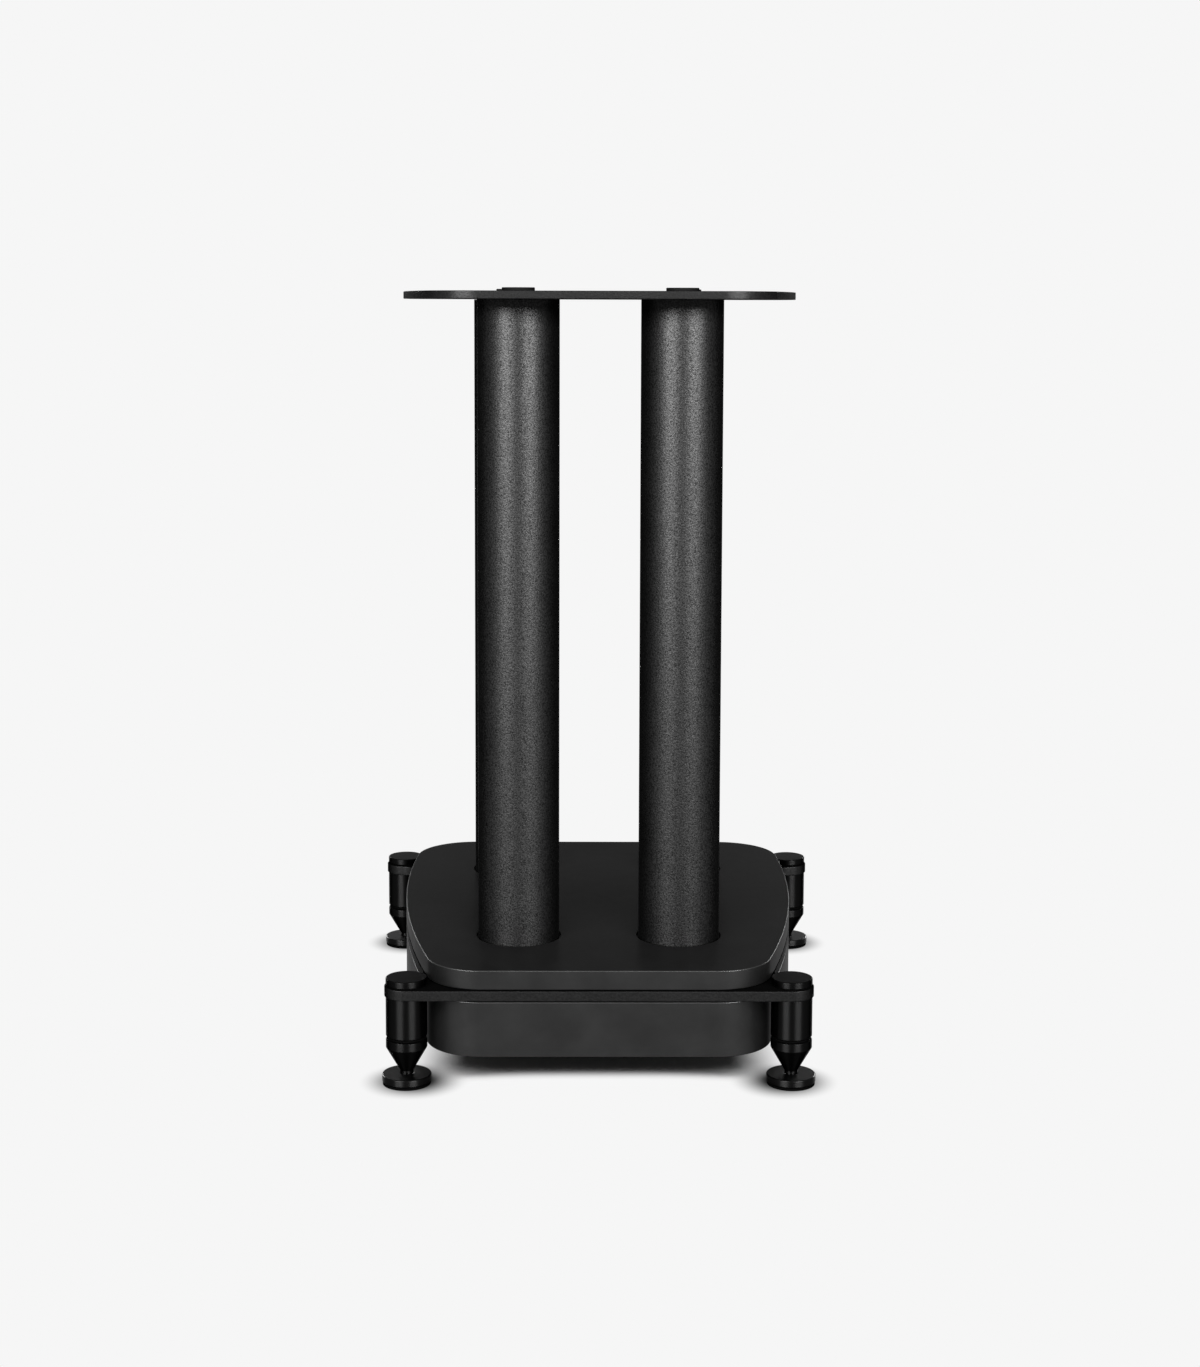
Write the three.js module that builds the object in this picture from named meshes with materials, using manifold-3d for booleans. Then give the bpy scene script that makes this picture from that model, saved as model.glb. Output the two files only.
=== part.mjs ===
// A speaker stand: a steel top plate on four round pillars over a plinth of two boards,
// with a steel outrigger plate between the boards that carries four adjustable feet.
// Millimetres, +Z up, the front towards -Y. The origin is on the floor, midway between
// the feet. Left and right are as seen from the front.

import * as THREE from "three";
import { mergeVertices } from "three/addons/utils/BufferGeometryUtils.js";
import Module from "manifold-3d";

const wasm = await Module();
wasm.setup();

// Clearances
const seatGap = 0.3; // between pieces that rest on each other
const weldGap = 0.3; // between an end plug and its tube, all round
const threadGap = 0.35; // round a thread in its tapped hole
const boltHoleGap = 0.5; // round a bolt in a drilled hole
const countersinkGap = 0.7; // how much wider a countersink is than its screw head

// Plinth, seen from above: straight front and rear, bowed sides, round corners
const plinthDepth = 408;
const plinthHalfWidth = 167.2; // at the widest place of the bowed sides
const plinthWidestY = 86; // that place lies behind the middle
const sideRadius = 1000;
const frontCornerRadius = 44;
const rearCornerRadius = 52;
const floorClearance = 26;
const lowerBoardThickness = 43.7;
const upperBoardThickness = 15.7;
const boardArris = 0.8; // chamfer on the boards' edges

// Outrigger plate
const outriggerThickness = 8;
const outriggerProud = 1; // past the boards' front and rear edges
const outriggerArris = 0.5;
const frontEarReach = 19; // from the bowed side out to the ear's centre
const rearEarReach = 17;
const earRim = 1; // how far an ear stands out round its foot
const earFilletRadius = 18; // where an ear runs into the bowed side

// Top plate
const topPlateThickness = 6;
const topPlateInset = 0.5; // its outline lies this far inside the boards'
const topPlateArris = 0.5;

// Pillars
const pillarRadius = 32.5;
const pillarWall = 2;
const pillarLength = 512.4;
const pillarY = 106; // in front of and behind the middle
const frontPillarX = 64.4;
const rearPillarX = 77;
const recessDepth = 3; // of the recess round each pillar foot
const recessGap = 1.5; // between recess and pillar, all round
const topPlugThickness = 15;
const bottomPlugThickness = 20;

// Pads on the top plate
const padRadius = 13;
const padThickness = 2.7;
const padChamfer = 0.5;

// Countersunk screws that hold the top plate
const topScrewRadius = 4;
const topScrewHeadHeight = 3.2; // the head widens at 45 degrees
const topScrewLength = 16;
const topScrewSocketRadius = 2.9;
const topScrewSocketDepth = 2.4;

// Bolts that hold the pillars to the plinth
const baseBoltRadius = 5;
const baseBoltHeadRadius = 8;
const baseBoltHeadHeight = 8;
const baseBoltSocketRadius = 4.6;
const baseBoltSocketDepth = 4;
const baseBoltSunk = 2; // how far the head lies up inside the lower board
const baseBoltShort = 3; // the bolt ends this far below the top of its plug
const counterboreGap = 4; // round the head, for the spanner

// Feet
const footRadius = 16; // cap, barrel and spike collar
const footThreadRadius = 5;
const capThickness = 4.9;
const capChamfer = 0.6;
const capThreadDepth = 9; // how far the cap's thread goes into the barrel
const washerThickness = 0.8;
const washerInset = 0.6; // the washer is this much smaller than the cap
const barrelChamfer = 0.5;
const lockRingThickness = 1.8;
const lockRingInset = 0.8;
const collarHeight = 6.6;
const collarChamfer = 0.4;
const coneHeight = 18.6;
const neckRadius = 5.2;
const neckHeight = 2.7;
const stemEndGap = 1.2; // between the spike's stem and the cap's thread
const floorDiscRadius = 19.1;
const floorDiscThickness = 5.9;
const floorDiscChamfer = 0.6;
const dimpleGap = 0.4; // between the dimple's rim and the spike's neck
const dimpleDepth = 3.2;
const discPadThickness = 2;
const discPadInset = 0.5;

// Faces of the round pieces
const pillarFacets = 40;
const plugFacets = 24;
const padFacets = 32;
const footFacets = 24;
const screwFacets = 16;
const arcDivisions = 6; // half the straight steps in each arc of an outline
const overrun = 1; // how far a cutter runs past the faces that it cuts

// Levels that several pieces share
const lowerBoardTop = floorClearance + lowerBoardThickness;
const outriggerBottom = lowerBoardTop + seatGap;
const outriggerTop = outriggerBottom + outriggerThickness;
const upperBoardBottom = outriggerTop + seatGap;
const upperBoardTop = upperBoardBottom + upperBoardThickness;
const pillarBottom = upperBoardTop - recessDepth + seatGap;
const pillarTop = pillarBottom + pillarLength;
const topPlateBottom = pillarTop + seatGap;
const topPlateTop = topPlateBottom + topPlateThickness;
const floorDiscBottom = discPadThickness + seatGap;
const floorDiscTop = floorDiscBottom + floorDiscThickness;
const coneBottom = floorDiscTop + neckHeight;
const collarBottom = coneBottom + coneHeight;
const collarTop = collarBottom + collarHeight;
const lockRingBottom = collarTop + seatGap;
const barrelBottom = lockRingBottom + lockRingThickness + seatGap;
const barrelTop = outriggerBottom - seatGap;
const capThreadEnd = barrelTop - capThreadDepth;
const washerBottom = outriggerTop + seatGap;
const capBottom = washerBottom + washerThickness + seatGap;
const counterboreTop = floorClearance + baseBoltSunk + baseBoltHeadHeight + seatGap;

// Widths that mating pieces share
const sideCentreX = plinthHalfWidth - sideRadius;
const earRadius = footRadius + earRim;
const earY = plinthDepth / 2 + outriggerProud - earRadius;
const footBoreRadius = footThreadRadius + threadGap;
const plugRadius = pillarRadius - pillarWall - weldGap;
const recessRadius = pillarRadius + recessGap;

const corners = [
  { name: "front_left", side: -1, end: -1 },
  { name: "front_right", side: 1, end: -1 },
  { name: "rear_left", side: -1, end: 1 },
  { name: "rear_right", side: 1, end: 1 },
];

const powderCoat = new THREE.MeshStandardMaterial({ color: 0x252526, roughness: 0.55, metalness: 0.2 });
const lacquer = new THREE.MeshStandardMaterial({ color: 0x2a2a2b, roughness: 0.6, metalness: 0 });
const anodised = new THREE.MeshStandardMaterial({ color: 0x101011, roughness: 0.35, metalness: 0.6 });
const rubber = new THREE.MeshStandardMaterial({ color: 0x141414, roughness: 0.85, metalness: 0 });
const bareSteel = new THREE.MeshStandardMaterial({ color: 0x8b8c8e, roughness: 0.5, metalness: 1 });
const blackSteel = new THREE.MeshStandardMaterial({ color: 0x1c1c1d, roughness: 0.45, metalness: 0.8 });

// A closed geometry as a solid that can be cut
function solidOf(geometry) {
  geometry.deleteAttribute("normal");
  geometry.deleteAttribute("uv");
  const merged = mergeVertices(geometry);
  return new wasm.Manifold(
    new wasm.Mesh({
      numProp: 3,
      vertProperties: merged.attributes.position.array,
      triVerts: new Uint32Array(merged.index.array),
    }),
  );
}

// The geometry that is left once each cutter is taken away from it
function cut(geometry, cutters) {
  let solid = solidOf(geometry);
  for (const cutter of cutters) {
    solid = solid.subtract(solidOf(cutter));
  }
  const mesh = solid.getMesh();
  const result = new THREE.BufferGeometry();
  result.setAttribute("position", new THREE.BufferAttribute(mesh.vertProperties, 3));
  result.setIndex(new THREE.BufferAttribute(mesh.triVerts, 1));
  result.computeVertexNormals();
  return result;
}

// A round piece about the Z axis. The profile lists radius and height, going up on the outside.
function turned(profile, facets) {
  const points = profile.map(([radius, height]) => new THREE.Vector2(radius, height));
  const geometry = new THREE.LatheGeometry(points, facets);
  geometry.rotateX(Math.PI / 2);
  return geometry;
}

// A plain ring or tube about the Z axis
function ring(innerRadius, outerRadius, bottom, top, facets) {
  const profile = [
    [innerRadius, bottom],
    [outerRadius, bottom],
    [outerRadius, top],
    [innerRadius, top],
    [innerRadius, bottom],
  ];
  return turned(profile, facets);
}

// An upright cylinder, or a prism when it has few facets
function rod(radius, bottom, top, facets) {
  const geometry = new THREE.CylinderGeometry(radius, radius, top - bottom, facets);
  geometry.rotateX(Math.PI / 2);
  geometry.translate(0, 0, (bottom + top) / 2);
  return geometry;
}

// A flat plate with chamfered edges
function plate(outline, bottom, thickness, arris) {
  const geometry = new THREE.ExtrudeGeometry(outline, {
    depth: thickness - 2 * arris,
    bevelThickness: arris,
    bevelSize: arris,
    bevelOffset: -arris,
    bevelSegments: 1,
    curveSegments: arcDivisions,
  });
  geometry.translate(0, 0, bottom + arris);
  return geometry;
}

function named(name, geometry, material) {
  const mesh = new THREE.Mesh(geometry, material);
  mesh.name = name;
  return mesh;
}

// Where the right-hand bowed side, moved outwards by offset, lies at a given y
function sideX(y, offset) {
  return sideCentreX + Math.sqrt((sideRadius + offset) ** 2 - (y - plinthWidestY) ** 2);
}

// The direction from the bowed side's centre to a point
function sideAngle(x, y) {
  return Math.atan2(y - plinthWidestY, x - sideCentreX);
}

function pillarPlace(corner) {
  const x = corner.end < 0 ? frontPillarX : rearPillarX;
  return [corner.side * x, corner.end * pillarY];
}

function footPlace(corner) {
  const y = corner.end * earY;
  const reach = corner.end < 0 ? frontEarReach : rearEarReach;
  return [corner.side * sideX(y, reach), y];
}

// The outline of the boards, or one drawn in from it by inset
function boardOutline(inset) {
  const edge = plinthDepth / 2;
  const frontY = frontCornerRadius - edge;
  const rearY = edge - rearCornerRadius;
  const frontX = sideX(frontY, -frontCornerRadius);
  const rearX = sideX(rearY, -rearCornerRadius);
  const frontAngle = sideAngle(frontX, frontY);
  const rearAngle = sideAngle(rearX, rearY);
  const frontRound = frontCornerRadius - inset;
  const rearRound = rearCornerRadius - inset;
  const sideRound = sideRadius - inset;
  const outline = new THREE.Shape();
  outline.moveTo(-frontX, inset - edge);
  outline.absarc(frontX, frontY, frontRound, -Math.PI / 2, frontAngle, false);
  outline.absarc(sideCentreX, plinthWidestY, sideRound, frontAngle, rearAngle, false);
  outline.absarc(rearX, rearY, rearRound, rearAngle, Math.PI / 2, false);
  outline.absarc(-rearX, rearY, rearRound, Math.PI / 2, Math.PI - rearAngle, false);
  outline.absarc(-sideCentreX, plinthWidestY, sideRound, Math.PI - rearAngle, Math.PI - frontAngle, false);
  outline.absarc(-frontX, frontY, frontRound, Math.PI - frontAngle, Math.PI * 1.5, false);
  return outline;
}

// Where the fillet's centre lies between an ear and the bowed side, on the right, and the
// directions to it from the ear's centre and from the side's
function earFillet(corner) {
  const [earX, y] = footPlace(corner);
  const fromSide = sideRadius + earFilletRadius;
  const fromEar = earRadius + earFilletRadius;
  const apart = Math.hypot(earX - sideCentreX, y - plinthWidestY);
  const along = (fromSide ** 2 - fromEar ** 2 + apart ** 2) / (2 * apart);
  const turn = Math.acos(along / fromSide);
  const angle = sideAngle(earX, y) - corner.end * turn;
  const x = sideCentreX + fromSide * Math.cos(angle);
  const filletY = plinthWidestY + fromSide * Math.sin(angle);
  return { earX, x, y: filletY, fromEar: Math.atan2(filletY - y, x - earX), fromSide: angle };
}

// The outrigger plate's outline: straight front and rear, an ear at each corner
function outriggerOutline() {
  const front = earFillet(corners[1]);
  const rear = earFillet(corners[3]);
  const half = Math.PI;
  const outline = new THREE.Shape();
  outline.moveTo(-front.earX, -earY - earRadius);
  outline.absarc(front.earX, -earY, earRadius, -half / 2, front.fromEar, false);
  outline.absarc(front.x, front.y, earFilletRadius, front.fromEar - half, front.fromSide - half, true);
  outline.absarc(sideCentreX, plinthWidestY, sideRadius, front.fromSide, rear.fromSide, false);
  outline.absarc(rear.x, rear.y, earFilletRadius, rear.fromSide + half, rear.fromEar + half, true);
  outline.absarc(rear.earX, earY, earRadius, rear.fromEar, half / 2, false);
  outline.absarc(-rear.earX, earY, earRadius, half / 2, half - rear.fromEar, false);
  outline.absarc(-rear.x, rear.y, earFilletRadius, -rear.fromEar, -rear.fromSide, true);
  outline.absarc(-sideCentreX, plinthWidestY, sideRadius, half - rear.fromSide, half - front.fromSide, false);
  outline.absarc(-front.x, front.y, earFilletRadius, -front.fromSide, -front.fromEar, true);
  outline.absarc(-front.earX, -earY, earRadius, half - front.fromEar, half * 1.5, false);
  return outline;
}

// A copy of a cutter at each of the four places that placeOf gives
function atCorners(placeOf, makeCutter) {
  return corners.map((corner) => {
    const [x, y] = placeOf(corner);
    return makeCutter().translate(x, y, 0);
  });
}

function topPlate() {
  const headRadius = topScrewRadius + topScrewHeadHeight + countersinkGap;
  const holeRadius = topScrewRadius + boltHoleGap;
  const countersink = () =>
    turned(
      [
        [0, topPlateBottom - overrun],
        [holeRadius, topPlateBottom - overrun],
        [holeRadius, topPlateTop - headRadius + holeRadius],
        [headRadius, topPlateTop],
        [headRadius, topPlateTop + overrun],
        [0, topPlateTop + overrun],
      ],
      screwFacets,
    );
  const blank = plate(boardOutline(topPlateInset), topPlateBottom, topPlateThickness, topPlateArris);
  return named("top_plate", cut(blank, atCorners(pillarPlace, countersink)), powderCoat);
}

function upperBoard() {
  const recess = () =>
    rod(recessRadius, upperBoardTop - recessDepth, upperBoardTop + overrun, pillarFacets);
  const boltHole = () =>
    rod(baseBoltRadius + boltHoleGap, upperBoardBottom - overrun, upperBoardTop + overrun, screwFacets);
  const cutters = [...atCorners(pillarPlace, recess), ...atCorners(pillarPlace, boltHole)];
  const blank = plate(boardOutline(0), upperBoardBottom, upperBoardThickness, boardArris);
  return named("upper_board", cut(blank, cutters), lacquer);
}

function outriggerPlate() {
  const hole = (radius) => rod(radius, outriggerBottom - overrun, outriggerTop + overrun, screwFacets);
  const boltHole = () => hole(baseBoltRadius + boltHoleGap);
  const footHole = () => hole(footThreadRadius + boltHoleGap);
  const cutters = [...atCorners(pillarPlace, boltHole), ...atCorners(footPlace, footHole)];
  const blank = plate(outriggerOutline(), outriggerBottom, outriggerThickness, outriggerArris);
  return named("outrigger_plate", cut(blank, cutters), powderCoat);
}

function lowerBoard() {
  const boltHole = () =>
    rod(baseBoltRadius + boltHoleGap, floorClearance - overrun, lowerBoardTop + overrun, screwFacets);
  const counterbore = () =>
    rod(baseBoltHeadRadius + counterboreGap, floorClearance - overrun, counterboreTop, plugFacets);
  const cutters = [...atCorners(pillarPlace, boltHole), ...atCorners(pillarPlace, counterbore)];
  const blank = plate(boardOutline(0), floorClearance, lowerBoardThickness, boardArris);
  return named("lower_board", cut(blank, cutters), lacquer);
}

function pad(name) {
  const bottom = topPlateTop + seatGap;
  const top = bottom + padThickness;
  const profile = [
    [0, bottom],
    [padRadius, bottom],
    [padRadius, top - padChamfer],
    [padRadius - padChamfer, top],
    [0, top],
  ];
  return named("pad_" + name, turned(profile, padFacets), rubber);
}

// The countersunk screw lies just below the top plate's face, under its pad
function topScrew(name) {
  const top = topPlateTop - seatGap;
  const profile = [
    [0, top - topScrewLength],
    [topScrewRadius, top - topScrewLength],
    [topScrewRadius, top - topScrewHeadHeight],
    [topScrewRadius + topScrewHeadHeight, top],
    [0, top],
  ];
  const socket = rod(topScrewSocketRadius, top - topScrewSocketDepth, top + overrun, 6);
  return named("top_screw_" + name, cut(turned(profile, screwFacets), [socket]), blackSteel);
}

function pillarTube(name) {
  const bore = pillarRadius - pillarWall;
  return named("pillar_" + name, ring(bore, pillarRadius, pillarBottom, pillarTop, pillarFacets), powderCoat);
}

function topPlug(name) {
  const bore = topScrewRadius + threadGap;
  const body = ring(bore, plugRadius, pillarTop - topPlugThickness, pillarTop, plugFacets);
  return named("top_plug_" + name, body, bareSteel);
}

function bottomPlug(name) {
  const bore = baseBoltRadius + threadGap;
  const body = ring(bore, plugRadius, pillarBottom, pillarBottom + bottomPlugThickness, plugFacets);
  return named("bottom_plug_" + name, body, bareSteel);
}

// The bolt goes up from its counterbore, through boards and outrigger plate, into the bottom plug
function baseBolt(name) {
  const shoulder = counterboreTop - seatGap;
  const headBottom = shoulder - baseBoltHeadHeight;
  const end = pillarBottom + bottomPlugThickness - baseBoltShort;
  const profile = [
    [0, headBottom],
    [baseBoltHeadRadius, headBottom],
    [baseBoltHeadRadius, shoulder],
    [baseBoltRadius, shoulder],
    [baseBoltRadius, end],
    [0, end],
  ];
  const socket = rod(baseBoltSocketRadius, headBottom - overrun, headBottom + baseBoltSocketDepth, 6);
  return named("base_bolt_" + name, cut(turned(profile, screwFacets), [socket]), blackSteel);
}

function footCapBolt(name) {
  const top = capBottom + capThickness;
  const profile = [
    [0, capThreadEnd],
    [footThreadRadius, capThreadEnd],
    [footThreadRadius, capBottom],
    [footRadius, capBottom],
    [footRadius, top - capChamfer],
    [footRadius - capChamfer, top],
    [0, top],
  ];
  return named("foot_" + name + "_cap_bolt", turned(profile, footFacets), anodised);
}

function footWasher(name) {
  const top = washerBottom + washerThickness;
  const body = ring(footBoreRadius, footRadius - washerInset, washerBottom, top, footFacets);
  return named("foot_" + name + "_washer", body, rubber);
}

function footBarrel(name) {
  const profile = [
    [footBoreRadius, barrelBottom],
    [footRadius - barrelChamfer, barrelBottom],
    [footRadius, barrelBottom + barrelChamfer],
    [footRadius, barrelTop],
    [footBoreRadius, barrelTop],
    [footBoreRadius, barrelBottom],
  ];
  return named("foot_" + name + "_barrel", turned(profile, footFacets), anodised);
}

function footLockRing(name) {
  const top = lockRingBottom + lockRingThickness;
  const body = ring(footBoreRadius, footRadius - lockRingInset, lockRingBottom, top, footFacets);
  return named("foot_" + name + "_lock_ring", body, rubber);
}

// The spike's point lies just above the floor disc's dimple and has the same slope
function footSpike(name) {
  const slope = dimpleDepth / (neckRadius + dimpleGap);
  const point = floorDiscTop - dimpleDepth + seatGap;
  const profile = [
    [0, point],
    [neckRadius, point + neckRadius * slope],
    [neckRadius, coneBottom],
    [footRadius, collarBottom],
    [footRadius, collarTop - collarChamfer],
    [footRadius - collarChamfer, collarTop],
    [footThreadRadius, collarTop],
    [footThreadRadius, capThreadEnd - stemEndGap],
    [0, capThreadEnd - stemEndGap],
  ];
  return named("foot_" + name + "_spike", turned(profile, footFacets), anodised);
}

function floorDisc(name) {
  const profile = [
    [0, floorDiscBottom],
    [floorDiscRadius - floorDiscChamfer, floorDiscBottom],
    [floorDiscRadius, floorDiscBottom + floorDiscChamfer],
    [floorDiscRadius, floorDiscTop - floorDiscChamfer],
    [floorDiscRadius - floorDiscChamfer, floorDiscTop],
    [neckRadius + dimpleGap, floorDiscTop],
    [0, floorDiscTop - dimpleDepth],
  ];
  return named("foot_" + name + "_floor_disc", turned(profile, footFacets), anodised);
}

function discPad(name) {
  const body = rod(floorDiscRadius - discPadInset, 0, discPadThickness, footFacets);
  return named("foot_" + name + "_disc_pad", body, rubber);
}

// Everything on one pillar's axis
function column(corner) {
  const group = new THREE.Group();
  const makers = [pillarTube, topPlug, bottomPlug, topScrew, baseBolt, pad];
  group.add(...makers.map((make) => make(corner.name)));
  group.position.set(...pillarPlace(corner), 0);
  return group;
}

// Everything on one foot's axis
function foot(corner) {
  const group = new THREE.Group();
  const makers = [footCapBolt, footWasher, footBarrel, footLockRing, footSpike, floorDisc, discPad];
  group.add(...makers.map((make) => make(corner.name)));
  group.position.set(...footPlace(corner), 0);
  return group;
}

const stand = new THREE.Group();
stand.add(topPlate(), upperBoard(), outriggerPlate(), lowerBoard());
for (const corner of corners) {
  stand.add(column(corner), foot(corner));
}

export default stand;
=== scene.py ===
from math import acos, atan2, cos, hypot, pi, radians, sin, sqrt

import bmesh
import bpy
from mathutils import Matrix, Vector


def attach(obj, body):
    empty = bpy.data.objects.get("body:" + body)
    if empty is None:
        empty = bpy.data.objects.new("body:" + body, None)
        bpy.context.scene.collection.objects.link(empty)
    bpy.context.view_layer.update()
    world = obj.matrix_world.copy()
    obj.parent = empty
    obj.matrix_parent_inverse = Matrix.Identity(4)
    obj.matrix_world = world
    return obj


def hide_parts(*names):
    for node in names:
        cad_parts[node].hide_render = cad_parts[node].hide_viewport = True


# Speaker stand: a steel top plate on four pillars over a plinth of two boards, with a
# steel outrigger plate between the boards that carries four adjustable feet.
# Sizes are in millimetres, and a mesh is turned to metres when it is finished. The floor's
# shade and the lamps are in metres.

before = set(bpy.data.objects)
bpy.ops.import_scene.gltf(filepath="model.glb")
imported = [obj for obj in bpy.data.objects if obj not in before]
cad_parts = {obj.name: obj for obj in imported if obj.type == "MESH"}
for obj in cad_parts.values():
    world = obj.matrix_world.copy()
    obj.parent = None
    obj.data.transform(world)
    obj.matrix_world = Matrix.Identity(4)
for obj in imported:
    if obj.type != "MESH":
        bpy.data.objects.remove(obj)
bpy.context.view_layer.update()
print("frame loaded:", len(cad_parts), "nodes")

mm = 0.001
corners = {
    "front_left": (-1, -1),  # side, end
    "front_right": (1, -1),
    "rear_left": (-1, 1),
    "rear_right": (1, 1),
}


# Camera: in front, level with the top plate's underside, looking down a little

camera = {
    "place": (-12.3, -1852.3, 601.2),
    "pitch": 5.935,  # degrees below the horizon
    "yaw": 0.4075,  # degrees to the right
    "roll": 0.174,
    "lens": 58.38,
    "sensor": 36,  # the picture's long side
    "shiftY": -0.11,  # moves the view down without tilting it further
    "clip": (0.05, 60),  # m
}


def makeCamera():
    data = bpy.data.cameras.new("camera")
    data.lens = camera["lens"]
    data.sensor_width = camera["sensor"]
    data.shift_y = camera["shiftY"]
    data.clip_start, data.clip_end = camera["clip"]
    data.dof.use_dof = False
    shot = bpy.data.objects.new("camera", data)
    bpy.context.scene.collection.objects.link(shot)
    turn = Matrix.Rotation(radians(-camera["yaw"]), 4, "Z")
    tilt = Matrix.Rotation(radians(90 - camera["pitch"]), 4, "X")
    roll = Matrix.Rotation(radians(camera["roll"]), 4, "Z")
    place = Matrix.Translation(Vector(camera["place"]) * mm)
    shot.matrix_world = place @ turn @ tilt @ roll
    bpy.context.scene.camera = shot


makeCamera()
bpy.context.scene.view_settings.view_transform = "Standard"
print("camera made")


# Materials

black, white = (0, 0, 0, 1), (1, 1, 1, 1)
noiseSpan = {"From Min": 0.3, "From Max": 0.7}  # where most of a noise's values lie
flatSpan = {"From Min": 0.6, "From Max": 0.9}  # a normal's z: below it a side, above it flat


def toLinear(hexCode):
    parts = [int(hexCode[at:at + 2], 16) / 255 for at in (1, 3, 5)]
    linear = [c / 12.92 if c <= 0.04045 else ((c + 0.055) / 1.055) ** 2.4 for c in parts]
    return (*linear, 1)


def addNode(tree, kind, settings=None, links=None, ramp=()):
    # settings: a property or a socket by name or number; links: an input from an output;
    # ramp: the places and colours of a colour ramp
    node = tree.nodes.new(kind)
    for name, value in (settings or {}).items():
        if isinstance(name, int) or name in node.inputs:
            node.inputs[name].default_value = value
        else:
            setattr(node, name, value)
    for name, source in (links or {}).items():
        tree.links.new(source, node.inputs[name])
    for at, (position, colour) in enumerate(ramp):
        stops = node.color_ramp.elements
        stop = stops[at] if at < len(stops) else stops.new(position)
        stop.position = position
        stop.color = colour
    return node


def newMaterial(name):
    material = bpy.data.materials.new(name)
    material.use_nodes = True
    material.node_tree.nodes.clear()
    return material, material.node_tree


# Powder-coated steel: melted polyester powder sets as a satin skin with a fine grain,
# which breaks the long highlights on the pillars into soft sparkle.
powderCoat = {
    # nearly metal, because the edge tint then holds back the glare at the edges
    "powderCoatedTube": {
        "pit": "#101010", "peak": "#292929", "metallic": 0.9, "edgeTint": "#4a4a4a",
        "roughness": 0.42,
    },
    "powderCoatedTopPlate": {
        "pit": "#1c1c1c", "peak": "#282828", "metallic": 0.3, "edgeTint": "#606060",
        "roughness": 0.36,
        "faceMetallic": 0.05, "faceRoughness": 0.8,  # its broad faces are duller
    },
    "powderCoatedOutrigger": {
        "pit": "#141414", "peak": "#1e1e1e", "metallic": 0.9, "edgeTint": "#808080",
        "roughness": 0.4,
    },
    "grain": 1.1,  # mm; real grit is about 0.3 mm, drawn coarser so that it shows
    "grainHeight": 0.1,
    "peakFrom": (0.3, 0.7),  # noise values from a pit to a peak of the grain
    "cloud": 40,  # mm, slow change in gloss where the coat lies thicker
    "glossSpread": 0.02,
}


def makePowderCoat(name):
    coat = powderCoat[name]
    material, tree = newMaterial(name)
    place = addNode(tree, "ShaderNodeTexCoord").outputs["Object"]
    grain = addNode(tree, "ShaderNodeTexNoise", {
        "Scale": 1 / (powderCoat["grain"] * mm), "Detail": 1.0, "Roughness": 0.6,
    }, {"Vector": place}).outputs["Fac"]
    cloud = addNode(tree, "ShaderNodeTexNoise", {
        "Scale": 1 / (powderCoat["cloud"] * mm), "Detail": 2.0,
    }, {"Vector": place}).outputs["Fac"]
    colours = (toLinear(coat["pit"]), toLinear(coat["peak"]))
    colour = addNode(
        tree, "ShaderNodeValToRGB", {}, {"Fac": grain}, zip(powderCoat["peakFrom"], colours),
    )
    roughness, spread = coat["roughness"], powderCoat["glossSpread"]
    gloss = addNode(tree, "ShaderNodeMapRange", {
        **noiseSpan, "To Min": roughness - spread, "To Max": roughness + spread,
    }, {"Value": cloud})
    bump = addNode(tree, "ShaderNodeBump", {
        "Strength": 1.0, "Distance": powderCoat["grainHeight"] * mm,
    }, {"Height": grain})
    shader = addNode(tree, "ShaderNodeBsdfPrincipled", {
        "Metallic": coat["metallic"],
        "Specular IOR Level": 0.0,
        "Specular Tint": toLinear(coat["edgeTint"]),
    }, {
        "Base Color": colour.outputs["Color"],
        "Roughness": gloss.outputs["Result"],
        "Normal": bump.outputs["Normal"],
    })
    if "faceMetallic" in coat:
        facing = addNode(tree, "ShaderNodeNewGeometry").outputs["Normal"]
        tilt = addNode(tree, "ShaderNodeSeparateXYZ", {}, {"Vector": facing}).outputs["Z"]
        upDown = addNode(tree, "ShaderNodeMath", {"operation": "ABSOLUTE"}, {0: tilt})
        dullMetal = addNode(tree, "ShaderNodeMapRange", {
            **flatSpan, "To Min": coat["metallic"], "To Max": coat["faceMetallic"],
        }, {"Value": upDown.outputs["Value"]})
        dullGloss = addNode(tree, "ShaderNodeMapRange", {
            **flatSpan, "To Max": coat["faceRoughness"],
        }, {"Value": upDown.outputs["Value"], "To Min": gloss.outputs["Result"]})
        tree.links.new(dullMetal.outputs["Result"], shader.inputs["Metallic"])
        tree.links.new(dullGloss.outputs["Result"], shader.inputs["Roughness"])
    addNode(tree, "ShaderNodeOutputMaterial", {}, {"Surface": shader.outputs["BSDF"]})
    return material


# Lacquered fibreboard: sprayed satin black lacquer, rubbed flat, with the faint orange
# peel of the spray and a soft reflection of the pillars.
lacquer = {
    "colour": "#252525",
    "thin": "#272727",
    "paintedEdgeHighlight": "#343434",  # painted highlight: the rounded edges are drawn lighter than the faces
    "paintedEdgeHighlightTilt": (0.1, 0.35, 0.9, 0.99),  # a normal's z: side, edge's start and end, face
    "metallic": 0.6,
    "edgeTint": "#aaaaaa",
    "roughness": 0.37,
    "glossSpread": 0.03,
    "peel": 2.5,  # mm between the bumps of the orange peel
    "peelHeight": 0.02,
    "cloud": 30,  # mm, where the lacquer was rubbed more or less
    "thinFrom": (0.35, 0.7),  # noise values from full to thin
}


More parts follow.
